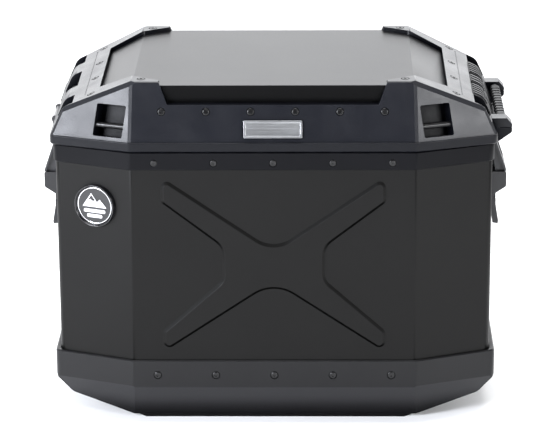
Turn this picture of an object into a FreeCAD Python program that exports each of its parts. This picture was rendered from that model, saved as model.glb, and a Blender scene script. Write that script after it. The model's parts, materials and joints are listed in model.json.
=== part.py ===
import FreeCAD, Part
import math
import os

# Hard aluminium side case for a motorcycle, with its lid, draw latches, handle and carrier fittings.
# Millimetres. The origin is the middle of the base plate's underside, +X points to the end with the
# carrying handle, +Y to the motorcycle and +Z up.

Vector = FreeCAD.Vector

# Case body: an eight-sided box of bent sheet.
BODY_HALF_X = 222.0
BODY_HALF_Y = 130.0
FRONT_HALF = 144.0
END_HALF = 98.0
CORNER_RADIUS = 8.0
SHEET = 1.5
SHELL_BOTTOM = 46.0
SHELL_TOP = 291.0

# Reinforcing frame around the mouth of the case.
BAND_BOTTOM = 274.7
BAND_TOP = 293.0
BAND_PROUD = 2.0
LIP_DEPTH = 3.5
RIVET_HEIGHT = 282.0
FRONT_PITCH = 60.0

# Crossed stiffening swage pressed into the front wall.
PRESS_HEIGHT = 2.8

# Badge on the front left facet.
BADGE_X = 180.6
BADGE_Z = 233.0
BADGE_RADIUS = 18.1

# Bottom tray and wear plate.
TRAY_HALF_X = 227.5
TRAY_HALF_Y = 132.5
TRAY_FRONT_HALF = 145.5
TRAY_END_HALF = 99.5
TRAY_RIM = 70.5
TRAY_BEVEL_TOP = 41.5
TRAY_WALL = 3.5
TRAY_SCREW_HEIGHT = 54.5
WEAR_PLATE = 3.5
WEAR_HALF_X = 142.5
WEAR_HALF_Y = 111.0

# Lid.
LID_BOTTOM = 293.4
LID_CREASE = 303.0
LID_TOP = 362.0
LID_HALF_X = 227.0
LID_HALF_Y = 132.0
LID_FRONT_HALF = 144.5
LID_END_HALF = 101.8
SHOULDER_X = 142.6
BEND_X = 213.5
BEND_Z = 330.2
SILL_X = 226.4
SILL_Z = 302.0
FRONT_TOP_Y = 114.5
FRONT_SILL_Y = 130.2
SHOULDER_SLOPE = (LID_TOP - BEND_Z) / (BEND_X - SHOULDER_X)
FRONT_LEAN = (FRONT_SILL_Y - FRONT_TOP_Y) / (LID_TOP - LID_CREASE)
FACET_NORMAL = Vector(0.33, 0.91, 0.252)
FACET_POINT = Vector(144.0, 130.3, 303.0)
PLATE_DROP = 4.5
PLATE_SHEET = 1.5
PLATE_EDGE_X = 176.5
PLATE_SIDE_GROOVE = 1.8
FOLD_Y = 111.5
HORN_EDGE = [(141.0, 91.0), (126.0, 101.0), (114.0, 108.0)]
HORN_START_Y = 77.0
NOTCH_HALF_Y = 32.0
NOTCH_X = 223.9

# Lashing openings in the lid.
FACET_WINDOW = (31.8, 33.0)
FACET_WINDOW_LEAN = 0.075
FACET_WINDOW_CENTRE = (164.5, 322.5)
SHOULDER_WINDOW_X = 203.3
SHOULDER_WINDOW_SILL = 313.0
OUTER_WINDOW = (64.0, 94.0)
MIDDLE_WINDOW = (-28.0, 28.0)
POCKET_WALL = 3.0
POCKET_DEPTH = 16.0
PAD_HALF_Y = 62.0

# Draw latches, drawn on the +X end and mirrored to the other.
ROD_X = 228.5
ROD_Z = 297.5
ROD_RADIUS = 2.2
LEVER_X = 232.6
LEVER_Z = 247.5
LEVER_PIN_RADIUS = 2.0
BAIL_X = 233.0
BAIL_Z = 232.0
BAIL_PIN_RADIUS = 1.6
RUNNING = 0.06
BLOCK_HALF_Y = 28.0
ARM_INNER_Y = 20.0
ARM_OUTER_Y = 24.0
EYE_RADIUS = 3.8
LOCK_Z = 230.5
LOCK_RADIUS = 6.0
CATCH_HALF_Y = 16.0
CATCH_WALL = 1.3

# Carrying handle on the +X end of the lid.
HANDLE_X = 234.5
HANDLE_Z = 297.5
HANDLE_PIN_RADIUS = 2.0
GRIP_X = 232.3
GRIP_Z = 306.8
GRIP_HALF_Y = 55.0
ARM_Y = (55.5, 61.4)
BRACKET_Y = (62.0, 78.0)

# Carrier fittings on the rear wall, for a carrier of round tube.
TUBE_RADIUS = 9.1
TUBE_Y = 146.0
HOOK_Z = 252.0
HOOK_X = 130.0
HOOK_HALF = 17.0
HOOK_WALL = 3.9
HOOK_PLATE = 3.0
SHAFT_Z = 138.0
SHAFT_RADIUS = 5.0
CLAW_Y = 155.6
LOWER_TUBE_Z = 105.0

# Fastener heads lie in counterbores.
SINK = 0.9
SCREW_SEAT_RADIUS = 4.4
RIVET_SEAT_RADIUS = 4.1

REACH = 400.0


# ---- outlines and solids ----

def inset(outline, depth):
    """Counter-clockwise outline with every side moved inwards by depth."""
    moved = []
    count = len(outline)
    for i in range(count):
        before, corner, after = outline[i - 1], outline[i], outline[(i + 1) % count]
        first = left_normal(before, corner)
        second = left_normal(corner, after)
        share = depth / (1 + first[0] * second[0] + first[1] * second[1])
        step_a = share * (first[0] + second[0])
        step_b = share * (first[1] + second[1])
        moved.append((corner[0] + step_a, corner[1] + step_b))
    return moved


def left_normal(start, end):
    run = (end[0] - start[0], end[1] - start[1])
    length = math.hypot(run[0], run[1])
    return (-run[1] / length, run[0] / length)


def rounded_wire(corners, radii):
    """Closed wire through the corners, each one rounded by its radius."""
    bends = []
    count = len(corners)
    for i in range(count):
        corner = corners[i]
        if radii[i] <= 0:
            bends.append((corner, None, corner))
            continue
        back = (corners[i - 1] - corner).normalize()
        ahead = (corners[(i + 1) % count] - corner).normalize()
        half = back.getAngle(ahead) / 2
        reach = radii[i] / math.tan(half)
        inwards = (back + ahead).normalize()
        middle = corner + inwards * (radii[i] / math.sin(half) - radii[i])
        bends.append((corner + back * reach, middle, corner + ahead * reach))
    edges = []
    for i in range(count):
        start, middle, end = bends[i]
        if middle is not None:
            edges.append(Part.Arc(start, middle, end).toShape())
        following = bends[(i + 1) % count][0]
        if (following - end).Length > 1e-6:
            edges.append(Part.LineSegment(end, following).toShape())
    return Part.Wire(edges)


def place_points(plane, outline, level):
    if plane == "xy":
        return [Vector(a, b, level) for a, b in outline]
    if plane == "xz":
        return [Vector(a, level, b) for a, b in outline]
    return [Vector(level, a, b) for a, b in outline]


def slab(plane, outline, low, high, radius=0.0):
    """Flat outline in a plane, with rounded corners, thickened from low to high across it."""
    radii = radius if isinstance(radius, list) else [radius] * len(outline)
    wire = rounded_wire(place_points(plane, outline, low), radii)
    direction = {"xy": Vector(0, 0, 1), "xz": Vector(0, 1, 0), "yz": Vector(1, 0, 0)}[plane]
    return Part.Face(wire).extrude(direction * (high - low))


def box(x, y, z):
    return Part.makeBox(x[1] - x[0], y[1] - y[0], z[1] - z[0], Vector(x[0], y[0], z[0]))


def rod(start, end, radius):
    run = end - start
    return Part.makeCylinder(radius, run.Length, start, run)


def join(shapes):
    return shapes[0].multiFuse(shapes[1:]).removeSplitter()


def remove(shape, tools):
    return shape.cut(tools)


def mirror_x(shape):
    return shape.mirror(Vector(0, 0, 0), Vector(1, 0, 0))


def mirror_y(shape):
    return shape.mirror(Vector(0, 0, 0), Vector(0, 1, 0))


def both_y(shape):
    return [shape, mirror_y(shape)]


def four_ways(shape):
    return [shape, mirror_x(shape), mirror_y(shape), mirror_x(mirror_y(shape))]


def octagon(half_x, half_y, front_half, end_half):
    quarter = [(half_x, end_half), (front_half, half_y)]
    left = [(-x, y) for x, y in reversed(quarter)]
    below = [(-x, -y) for x, y in quarter + left]
    return quarter + left + below


def body_outline(depth):
    return inset(octagon(BODY_HALF_X, BODY_HALF_Y, FRONT_HALF, END_HALF), depth)


def body_prism(depth, low, high):
    return slab("xy", body_outline(depth), low, high, CORNER_RADIUS - depth)


def cut_beyond(shape, point, normal, floor=None):
    """Cut away what lies beyond a plane, above floor where one is given."""
    block = Part.makeBox(2 * REACH, 2 * REACH, REACH, Vector(-REACH, -REACH, 0))
    block.Placement = FreeCAD.Placement(point, FreeCAD.Rotation(Vector(0, 0, 1), normal))
    if floor is not None:
        block = block.common(box((-REACH, REACH), (-REACH, REACH), (floor, REACH)))
    return shape.cut(block)


def four_normals(normal, point):
    """The plane and its mirror images in the four corners."""
    corners = []
    for side_x in (1, -1):
        for side_y in (1, -1):
            turned = Vector(normal.x * side_x, normal.y * side_y, normal.z)
            corners.append((Vector(point.x * side_x, point.y * side_y, point.z), turned))
    return corners


# ---- fasteners ----

def headed_pin(head_radius, head_height, shank_radius, shank_length, socket_radius):
    """Low domed head on a shank, its seat at the origin and its head along +Z."""
    rim = 0.35 * head_height
    shoulder = 0.55 * head_radius
    dome = Part.Arc(
        Vector(head_radius, 0, rim),
        Vector(0.86 * head_radius, 0, 0.82 * head_height),
        Vector(shoulder, 0, head_height),
    )
    corners = [
        Vector(shoulder, 0, head_height),
        Vector(0, 0, head_height),
        Vector(0, 0, -shank_length),
        Vector(shank_radius, 0, -shank_length),
        Vector(shank_radius, 0, 0),
        Vector(head_radius, 0, 0),
        Vector(head_radius, 0, rim),
    ]
    edges = [Part.LineSegment(a, b).toShape() for a, b in zip(corners, corners[1:])]
    profile = Part.Face(Part.Wire([dome.toShape()] + edges))
    pin = profile.revolve(Vector(0, 0, 0), Vector(0, 0, 1), 360)
    if socket_radius:
        hexagon = [
            (socket_radius * math.cos(math.radians(60 * i)), socket_radius * math.sin(math.radians(60 * i)))
            for i in range(6)
        ]
        pin = pin.cut(slab("xy", hexagon, 0.2 * head_height, head_height + 1))
    return pin


def set_on(shape, position, normal):
    placed = shape.copy()
    placed.Placement = FreeCAD.Placement(position, FreeCAD.Rotation(Vector(0, 0, 1), normal))
    return placed


def group(fastener, places):
    return Part.Compound([set_on(fastener, position, normal) for position, normal in places])


def sunk(places):
    return [(position - normal * SINK, normal) for position, normal in places]


def sunk_screws(places):
    return group(headed_pin(3.7, 1.2, 2.0, 6.0, 1.7), sunk(places))


def band_rivets():
    """Blind rivets, each with the hollow left by its mandrel."""
    rivet = headed_pin(3.5, 1.2, 1.6, 4.0, 0)
    hollow = Part.makeCylinder(1.2, 2, Vector(0, 0, 0.3))
    return group(rivet.cut(hollow), sunk(band_rivet_places()))


def holes(places, radius, depth):
    """Clearance holes under fasteners, at (position, normal) places."""
    return [rod(position + normal, position - normal * depth, radius) for position, normal in places]


def screw_holes(places):
    return holes(places, 2.05, 7.4) + holes(places, SCREW_SEAT_RADIUS, SINK)


def front_and_rear(xs, height, half_y, normal):
    """(position, normal) places along the front wall and mirrored to the rear wall."""
    places = []
    for x in xs:
        places.append((Vector(x, -half_y, height), Vector(0, -normal.y, normal.z)))
        places.append((Vector(x, half_y, height), Vector(0, normal.y, normal.z)))
    return places


def band_rivet_places():
    xs = [FRONT_PITCH * i for i in (-2, -1, 0, 1, 2)]
    return front_and_rear(xs, RIVET_HEIGHT, BODY_HALF_Y + BAND_PROUD, Vector(0, 1, 0))


def tray_screw_places():
    xs = [FRONT_PITCH * i for i in (-2, -1, 0, 1, 2)]
    return front_and_rear(xs, TRAY_SCREW_HEIGHT, TRAY_HALF_Y, Vector(0, 1, 0))


# ---- case body ----

def cross_outline(depth):
    """Outline of the crossed swage on the front wall, its sides moved inwards by depth."""
    right = [
        (0.0, 156.4, -36.0),
        (112.3, 81.2, 5.0),
        (112.3, 102.1, 5.0),
        (50.8, 157.0, -16.0),
        (50.8, 193.3, -20.0),
        (112.3, 240.7, 5.0),
        (112.3, 265.6, 5.0),
        (0.0, 188.1, -32.0),
    ]
    left = [(-x, z, radius) for x, z, radius in reversed(right[1:-1])]
    points = right + left
    moved = inset([(x, z) for x, z, _ in points], depth)
    radii = [radius - depth if radius > 0 else depth - radius for _, _, radius in points]
    return moved, radii


def cross_press(lift):
    """Pressed cross with sloping flanks, raised from the front wall, which lies lift behind it."""
    steps = [(-1.2, 0.0), (-0.7, 0.5), (1.2, PRESS_HEIGHT - 0.5), (1.8, PRESS_HEIGHT)]
    wires = []
    for depth, height in steps:
        outline, radii = cross_outline(depth)
        wires.append(rounded_wire(place_points("xz", outline, -BODY_HALF_Y + lift - height), radii))
    return Part.makeLoft(wires, True, True)


def latch_rivet_places():
    places = []
    for height, half_y in ((190.0, 22.0), (266.0, 17.0)):
        for side in (1, -1):
            places.append((Vector(BODY_HALF_X + 2.0, side * half_y, height), Vector(1, 0, 0)))
    return places


def hook_screw_places():
    places = []
    for side in (1, -1):
        for step in (-1, 1):
            for height in (240.0, 264.0):
                x = side * HOOK_X + step * (HOOK_HALF + 8.0)
                places.append((Vector(x, BODY_HALF_Y + HOOK_PLATE, height), Vector(0, 1, 0)))
    return places


def both_ends(places):
    return places + [(Vector(-p.x, p.y, p.z), Vector(-n.x, n.y, n.z)) for p, n in places]


def case_shell():
    outer = join([body_prism(0, SHELL_BOTTOM, SHELL_TOP), cross_press(0)])
    shell = remove(outer, [body_prism(SHEET, SHELL_BOTTOM - 1, SHELL_TOP + 1), cross_press(SHEET)])
    tools = holes(band_rivet_places(), 1.65, 12) + holes(tray_screw_places(), 2.05, 12)
    tools += holes(both_ends(latch_rivet_places()), 1.65, 8) + holes(hook_screw_places(), 2.05, 9)
    tools.append(rod(Vector(0, 120, SHAFT_Z), Vector(0, 140, SHAFT_Z), 9.0))
    return remove(shell, tools)


def top_frame():
    skirt = body_prism(-BAND_PROUD, BAND_BOTTOM, SHELL_TOP).cut(body_prism(0, BAND_BOTTOM - 1, SHELL_TOP))
    outer_edges = [e for e in skirt.Edges if abs(e.BoundBox.ZMax - BAND_BOTTOM) < 0.01 and outside(e)]
    skirt = skirt.makeChamfer(0.7, outer_edges)
    lip = body_prism(-BAND_PROUD, SHELL_TOP, BAND_TOP)
    lip = lip.makeChamfer(1.0, [e for e in lip.Edges if abs(e.BoundBox.ZMin - BAND_TOP) < 0.01])
    lip = lip.cut(body_prism(LIP_DEPTH, SHELL_TOP - 1, BAND_TOP + 1))
    inner = body_prism(SHEET, 284, SHELL_TOP).cut(body_prism(LIP_DEPTH, 283, SHELL_TOP + 1))
    frame = join([skirt, lip, inner])
    bores = holes(band_rivet_places(), 1.65, 12) + holes(band_rivet_places(), RIVET_SEAT_RADIUS, SINK)
    return remove(frame, bores)


def outside(edge):
    """Whether an edge of the band lies on its outer face, not against the sheet."""
    middle = edge.valueAt((edge.FirstParameter + edge.LastParameter) / 2)
    x = abs(middle.x)
    y = abs(middle.y)
    facet = left_normal((BODY_HALF_X, END_HALF), (FRONT_HALF, BODY_HALF_Y))
    reach = -(facet[0] * x + facet[1] * y)
    limit = -(facet[0] * BODY_HALF_X + facet[1] * END_HALF)
    clear = 0.5 * BAND_PROUD
    return x > BODY_HALF_X + clear or y > BODY_HALF_Y + clear or reach > limit + clear


def tray_form(depth):
    """Tray shape with every wall moved inwards by depth, open to any height above its rim."""
    plan = inset(octagon(TRAY_HALF_X, TRAY_HALF_Y, TRAY_FRONT_HALF, TRAY_END_HALF), depth)
    form = slab("xy", plan, 0, TRAY_RIM, CORNER_RADIUS - min(depth, 6))
    ends = [(TRAY_HALF_X, 90), (-TRAY_HALF_X, 90), (-TRAY_HALF_X, 42), (-211, 22.6)]
    ends += [(-WEAR_HALF_X - 2, WEAR_PLATE), (WEAR_HALF_X + 2, WEAR_PLATE), (211, 22.6), (TRAY_HALF_X, 42)]
    form = form.common(slab("xz", inset(ends, depth), -REACH, REACH, [0, 0, 10, 12, 0, 0, 12, 10]))
    sides = [(TRAY_HALF_Y, 90), (-TRAY_HALF_Y, 90), (-TRAY_HALF_Y, TRAY_BEVEL_TOP)]
    sides += [(-WEAR_HALF_Y - 1, WEAR_PLATE), (WEAR_HALF_Y + 1, WEAR_PLATE), (TRAY_HALF_Y, TRAY_BEVEL_TOP)]
    form = form.common(slab("yz", inset(sides, depth), -REACH, REACH, [0, 0, 5, 3, 3, 5]))
    normal = Vector(0.3337, 0.8368, -0.4347)
    point = Vector(144.0, TRAY_HALF_Y, TRAY_BEVEL_TOP) - normal * depth
    for corner, outwards in four_normals(normal, point):
        form = cut_beyond(form, corner, outwards)
    return form


def bottom_tray():
    outer = tray_form(0)
    rim_edges = [e for e in outer.Edges if abs(e.BoundBox.ZMin - TRAY_RIM) < 0.01]
    outer = outer.makeChamfer(1.2, rim_edges)
    hollow = tray_form(TRAY_WALL)
    ledge = 40.0
    above = box((-REACH, REACH), (-REACH, REACH), (ledge, REACH))
    hollow = hollow.cut(above)
    throat = body_prism(SHEET + 0.2, ledge, TRAY_RIM + 1)
    seat = body_prism(0, SHELL_BOTTOM, TRAY_RIM + 1)
    groove = body_prism(-0.8, TRAY_RIM - 1.6, TRAY_RIM + 1)
    return remove(outer, [hollow, throat, seat, groove] + screw_holes(tray_screw_places()))


def wear_plate():
    plan = octagon(WEAR_HALF_X, WEAR_HALF_Y, WEAR_HALF_X - 8, WEAR_HALF_Y - 8)
    plate = slab("xy", plan, 0, WEAR_PLATE, 2)
    return plate.makeChamfer(0.8, [e for e in plate.Edges if e.BoundBox.ZMax < 0.01])


# ---- badge ----

def badge_axis():
    """Middle of the badge on the front left facet, and the facet's outward normal."""
    run = Vector(BODY_HALF_X - FRONT_HALF, BODY_HALF_Y - END_HALF, 0)
    normal = Vector(-run.y, -run.x, 0).normalize()
    drop = (BADGE_X - FRONT_HALF) * run.y / run.x
    return Vector(-BADGE_X, -(BODY_HALF_Y - drop), BADGE_Z), normal


def badge_place(shape):
    """Stand a shape drawn in X (right) and Y (up), thick along Z, on the facet."""
    middle, normal = badge_axis()
    right = Vector(0, 0, 1).cross(normal)
    turned = FreeCAD.Rotation(right, Vector(0, 0, 1), normal, "ZYX")
    placed = shape.copy()
    placed.Placement = FreeCAD.Placement(middle, turned)
    return placed


def badge_bezel():
    """Shallow dish with a flared rim."""
    dish = Part.makeCone(22.8, 21.8, 5.0)
    return badge_place(dish.cut(Part.makeCone(19.5, 21.1, 3.6, Vector(0, 0, 1.5))))


def badge_ring():
    ring = Part.makeCylinder(19.4, 1.5, Vector(0, 0, 1.5))
    ring = ring.cut(Part.makeCylinder(BADGE_RADIUS, 3, Vector(0, 0, 1)))
    return badge_place(ring.makeFillet(0.5, [e for e in ring.Edges if e.BoundBox.ZMin > 2.9]))


def badge_face():
    return badge_place(Part.makeCylinder(BADGE_RADIUS - 0.05, 1.0, Vector(0, 0, 1.5)))


def badge_emblem():
    """Plain mountain range over two bars, raised on the badge's face."""
    peaks = [(-13.5, -1.5), (13.5, -1.5), (6.0, 7.0), (3.0, 3.8), (-3.4, 13.0)]
    ranges = slab("xy", peaks, 2.5, 3.1, 0.3)
    snow = slab("xy", [(-7.4, 5.0), (-4.4, 6.8), (-1.4, 4.6), (0.8, 6.2), (-3.4, 11.0)], 2.4, 3.6)
    bars = []
    for half, low in ((12.0, -7.4), (8.5, -12.6)):
        outline = [(-half, low), (half, low), (half, low + 3.4), (-half, low + 3.4)]
        bars.append(slab("xy", outline, 2.5, 3.1, 1.2))
    return badge_place(Part.Compound([ranges.cut(snow)] + bars))


# ---- draw latch, on the +X end ----

def pivot(x, z, low, high, radius):
    """Cylinder along Y about a pivot."""
    return rod(Vector(x, low, z), Vector(x, high, z), radius)


def latch_plate():
    plate = slab("yz", [(-29, 180), (29, 180), (29, 272), (-29, 272)], BODY_HALF_X, BODY_HALF_X + 2, 4)
    web = [(224, 242.3), (LEVER_X, LEVER_Z - EYE_RADIUS), (LEVER_X, LEVER_Z + EYE_RADIUS), (224, 256.5)]
    ear = slab("xz", web, 10, 13).fuse(pivot(LEVER_X, LEVER_Z, 10, 13, EYE_RADIUS))
    plate = join([plate] + both_y(ear))
    bore = pivot(LEVER_X, LEVER_Z, -20, 20, LEVER_PIN_RADIUS + 0.02)
    return remove(plate, [bore] + holes(latch_rivet_places(), 1.65, 8))


def lever_pin():
    return pivot(LEVER_X, LEVER_Z, -14, 14, LEVER_PIN_RADIUS)


def latch_lever():
    block = [(226, 217), (229, 217), (241, 225), (241, 241), (226, 241)]
    body = slab("xz", block, -BLOCK_HALF_Y, BLOCK_HALF_Y, [0, 1, 3, 2, 1])
    tail = [(226.4, 219), (226.4, 200), (227.4, 184), (233.2, 183), (233.6, 186), (230.6, 204), (230.6, 219)]
    body = body.fuse(slab("xz", tail, -24, 24, [0, 0, 1, 1, 1, 8, 0]))
    knuckle = slab("xz", [(229.2, 239), (236, 239), (235.8, LEVER_Z), (229.4, LEVER_Z)], -9.6, 9.6)
    eye = pivot(LEVER_X, LEVER_Z, -9.6, 9.6, EYE_RADIUS)
    body = join([body, knuckle, eye])
    tools = [pivot(LEVER_X, LEVER_Z, -10, 10, LEVER_PIN_RADIUS + RUNNING)]
    tools += both_y(box((228.4, 245), (ARM_INNER_Y - 0.4, ARM_OUTER_Y + 0.4), (210, 245)))
    tools += both_y(pivot(BAIL_X, BAIL_Z, 16, 27.4, BAIL_PIN_RADIUS + 0.02))
    tools.append(rod(Vector(230.2, 0, LOCK_Z), Vector(245, 0, LOCK_Z), LOCK_RADIUS + RUNNING))
    tools += both_y(box((220, 228.1), (12, 19), (225, 238)))
    return remove(body, tools)


def bail_pins():
    return Part.Compound(both_y(pivot(BAIL_X, BAIL_Z, 16, 27.4, BAIL_PIN_RADIUS)))


def latch_bail():
    face = [(241, 242.3), (231, 271), (227.4, 288.5), (225.4, 288.1), (229, 270.4), (238.9, 242.0)]
    plate = slab("xz", face, -BLOCK_HALF_Y, BLOCK_HALF_Y, [0.6, 6, 0, 0, 6, 0.6])
    window = box((220, 245), (-15, 15), (247.5, 268))
    rounded = [e for e in window.Edges if abs(e.Length - 25) < 0.01 and e.BoundBox.YLength < 0.01]
    plate = plate.cut(window.makeFillet(2.5, rounded))
    web = [(229.6, 234), (236.2, 230.6), (240.2, 242.3), (230.4, 270.6), (229.9, 288), (231.6, 297.5)]
    web += [(225.4, 297.5), (225.4, 284), (226.6, 262), (229.2, 243)]
    arm = slab("xz", web, ARM_INNER_Y, ARM_OUTER_Y)
    lower = pivot(BAIL_X, BAIL_Z, ARM_INNER_Y, ARM_OUTER_Y, 3.9)
    upper = pivot(ROD_X, ROD_Z, ARM_INNER_Y, ARM_OUTER_Y, 3.4)
    arm = join([arm, lower, upper])
    cross = pivot(ROD_X, ROD_Z, -ARM_OUTER_Y - 1.2, ARM_OUTER_Y + 1.2, ROD_RADIUS)
    bail = join([plate, cross] + both_y(arm))
    return bail.cut(pivot(BAIL_X, BAIL_Z, -30, 30, BAIL_PIN_RADIUS + RUNNING))


def lock_cylinder():
    plug = rod(Vector(230.6, 0, LOCK_Z), Vector(241.9, 0, LOCK_Z), LOCK_RADIUS)
    plug = plug.makeChamfer(0.5, [e for e in plug.Edges if e.BoundBox.XMin > 241])
    keyway = box((238.5, 243), (-0.8, 0.8), (LOCK_Z - 3.6, LOCK_Z + 3.6))
    return plug.cut(keyway)


def latch_rivets():
    return group(headed_pin(3.0, 1.2, 1.6, 5.0, 0), latch_rivet_places())


def lid_catch(lip_x):
    """Steel catch under the latch rod: a wall plate with a lip out to lip_x."""
    face = NOTCH_X + CATCH_WALL
    wall = [(NOTCH_X, 293.8), (lip_x, 293.8), (lip_x, 295.0), (face, 295.0), (face, 302.6), (NOTCH_X, 302.6)]
    catch = slab("xz", wall, -CATCH_HALF_Y, CATCH_HALF_Y)
    return remove(catch, holes(catch_rivet_places(), 1.25, 3))


def catch_rivet_places():
    return [(Vector(NOTCH_X + CATCH_WALL, y, 299.4), Vector(1, 0, 0)) for y in (-10.5, 10.5)]


def catch_rivets():
    return group(headed_pin(2.4, 0.5, 1.2, 4.0, 0), both_ends(catch_rivet_places()))


# ---- lid ----

def lid_outer():
    plan = octagon(LID_HALF_X, LID_HALF_Y, LID_FRONT_HALF, LID_END_HALF)
    rim = slab("xy", plan, LID_BOTTOM, LID_CREASE, CORNER_RADIUS)
    rim = rim.makeFillet(0.8, [e for e in rim.Edges if abs(e.BoundBox.ZMin - LID_CREASE) < 0.01])
    rim = rim.makeChamfer(1.1, [e for e in rim.Edges if e.BoundBox.ZMax < LID_BOTTOM + 0.01])
    sill_y = FRONT_SILL_Y + FRONT_LEAN * (LID_CREASE - LID_BOTTOM)
    crown = slab("xy", plan, LID_BOTTOM + 2, LID_TOP, CORNER_RADIUS)
    ends = [(SHOULDER_X, LID_TOP), (-SHOULDER_X, LID_TOP), (-BEND_X, BEND_Z), (-SILL_X, SILL_Z)]
    ends += [(-SILL_X, 290), (SILL_X, 290), (SILL_X, SILL_Z), (BEND_X, BEND_Z)]
    crown = crown.common(slab("xz", ends, -REACH, REACH, [4, 4, 13, 0, 0, 0, 0, 13]))
    sides = [(FRONT_TOP_Y, LID_TOP), (-FRONT_TOP_Y, LID_TOP), (-sill_y, LID_BOTTOM), (sill_y, LID_BOTTOM)]
    crown = crown.common(slab("yz", sides, -REACH, REACH, [2.5, 2.5, 0, 0]))
    for point, normal in four_normals(FACET_NORMAL, FACET_POINT):
        crown = cut_beyond(crown, point, normal)
    for point, normal in facet_bevels():
        for corner, outwards in four_normals(normal, point):
            crown = cut_beyond(crown, corner, outwards)
    return join([crown, rim])


def facet_bevels():
    """Planes that bevel the corner facet where it meets the shoulder, the front slope and the end."""
    shoulder = (Vector(SHOULDER_X, 0, LID_TOP), Vector(SHOULDER_SLOPE, 0, 1))
    front = (Vector(0, FRONT_TOP_Y, LID_TOP), Vector(0, 1, FRONT_LEAN))
    end = (Vector(SILL_X, 0, SILL_Z), Vector(BEND_Z - SILL_Z, 0, SILL_X - BEND_X))
    facet = (FACET_POINT, FACET_NORMAL)
    return [bevel_plane(facet, plane, width) for plane, width in ((shoulder, 6.5), (front, 3.5), (end, 4.0))]


def bevel_plane(first, second, width):
    """Plane, as a point and a normal, that bevels the edge between two planes to a width."""
    one = Vector(first[1]).normalize()
    two = Vector(second[1]).normalize()
    level_one = one.dot(first[0])
    level_two = two.dot(second[0])
    shared = one.dot(two)
    share_one = (level_one - level_two * shared) / (1 - shared * shared)
    share_two = (level_two - level_one * shared) / (1 - shared * shared)
    normal = (one + two).normalize()
    depth = width / 2 * math.tan(one.getAngle(two) / 2)
    return one * share_one + two * share_two - normal * depth, normal


def shoulder_z(x, drop):
    """Height of the sloping shoulder at x, lowered by drop."""
    return LID_TOP - drop - SHOULDER_SLOPE * (x - SHOULDER_X)


def plate_profile(drop):
    """Half-height outline of the lid's top sheet in X and Z, from its far left to its far right."""
    edge = PLATE_EDGE_X + 10
    bend = SHOULDER_X - 1
    low = shoulder_z(edge, drop)
    high = LID_TOP - drop
    return [(-edge, low), (-bend, high), (bend, high), (edge, low)]


def plate_plan(clearance):
    """Outline of the opening between the lid's horns, for the top sheet."""
    quarter = [(PLATE_EDGE_X, HORN_START_Y)] + HORN_EDGE
    quarter.append((HORN_EDGE[-1][0], FOLD_Y + 0.3))
    left = [(-x, y) for x, y in reversed(quarter)]
    below = [(-x, -y) for x, y in quarter + left]
    return inset(quarter + left + below, clearance)


def plate_corner_radii():
    quarter = [2, 8, 8, 5, 0]
    return quarter + quarter[::-1] + quarter + quarter[::-1]


def above_plate(drop):
    """Everything above the top sheet's profile, lowered by drop."""
    roof = plate_profile(drop)[::-1]
    roof += [(-REACH, roof[-1][1]), (-REACH, REACH), (REACH, REACH), (REACH, roof[0][1])]
    return slab("xz", roof, -REACH, REACH)


def horn_gap(margin):
    """Slant-sided gap between the horns at the front, narrowed by margin on each side."""
    wide = 116.0 - margin
    narrow = 106.2 - margin
    low = 339.6 + margin
    return [(narrow, low), (wide, LID_TOP + 3), (-wide, LID_TOP + 3), (-narrow, low)]


def rectangle(width, height):
    half_w = width / 2
    half_h = height / 2
    return [(-half_w, -half_h), (half_w, -half_h), (half_w, half_h), (-half_w, half_h)]


def facet_frame():
    """Middle of a corner lashing window, with the directions across, up and out of its facet."""
    x, z = FACET_WINDOW_CENTRE
    y = (FACET_NORMAL.dot(FACET_POINT) - FACET_NORMAL.x * x - FACET_NORMAL.z * z) / FACET_NORMAL.y
    out = Vector(FACET_NORMAL).normalize()
    across = out.cross(Vector(0, 0, 1)).normalize()
    return Vector(x, y, z), across, across.cross(out), out


def facet_block(margin, low, high, radius):
    """Lashing window's leaning outline, widened by margin, from low to high along the facet's normal."""
    middle, across, up, out = facet_frame()
    corners = rectangle(FACET_WINDOW[0] + 2 * margin, FACET_WINDOW[1] + 2 * margin)
    shape = slab("xy", [(a + FACET_WINDOW_LEAN * b, b) for a, b in corners], low, high, radius)
    shape.Placement = FreeCAD.Placement(middle, FreeCAD.Rotation(-across, up, out, "ZYX"))
    return shape


def shoulder_windows():
    """(side of the case, low Y, high Y) of each lashing window in the shoulders."""
    low, high = OUTER_WINDOW
    outer = [(low, high), (-high, -low)]
    windows = [(side, *span) for side in (1, -1) for span in outer]
    windows.append((-1, *MIDDLE_WINDOW))
    return windows


def side_range(side, low, high):
    return (low, high) if side > 0 else (-high, -low)


def lid_cavity():
    ends = [(SHOULDER_X, 350.5), (-SHOULDER_X, 350.5), (-212.5, 322.5), (-217.2, 312.5), (-217.2, 280)]
    ends += [(217.2, 280), (217.2, 312.5), (212.5, 322.5)]
    sides = [(106.5, 351), (-106.5, 351), (-106.5, 337), (-118.0, 331), (-125.2, 303.5), (-125.2, 280)]
    sides += [(125.2, 280), (125.2, 303.5), (118.0, 331), (106.5, 337)]
    cavity = body_prism(4.8, 280, REACH)
    cavity = cavity.common(slab("xz", ends, -REACH, REACH)).common(slab("yz", sides, -REACH, REACH))
    for point, normal in four_normals(FACET_NORMAL, FACET_POINT - FACET_NORMAL * 4):
        cavity = cut_beyond(cavity, point, normal)
    return cavity


def lid_pockets(outer):
    """Closed cups behind the lashing windows, inside the lid's outer form."""
    cups = four_ways(facet_block(POCKET_WALL, -POCKET_DEPTH - POCKET_WALL, 20, 4))
    for side, low, high in shoulder_windows():
        x = side_range(side, SHOULDER_WINDOW_X - POCKET_WALL, LID_HALF_X)
        y = (low - POCKET_WALL, high + POCKET_WALL)
        cups.append(box(x, y, (SHOULDER_WINDOW_SILL - POCKET_WALL, 350)))
    return [cup.common(outer) for cup in cups]


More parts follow.
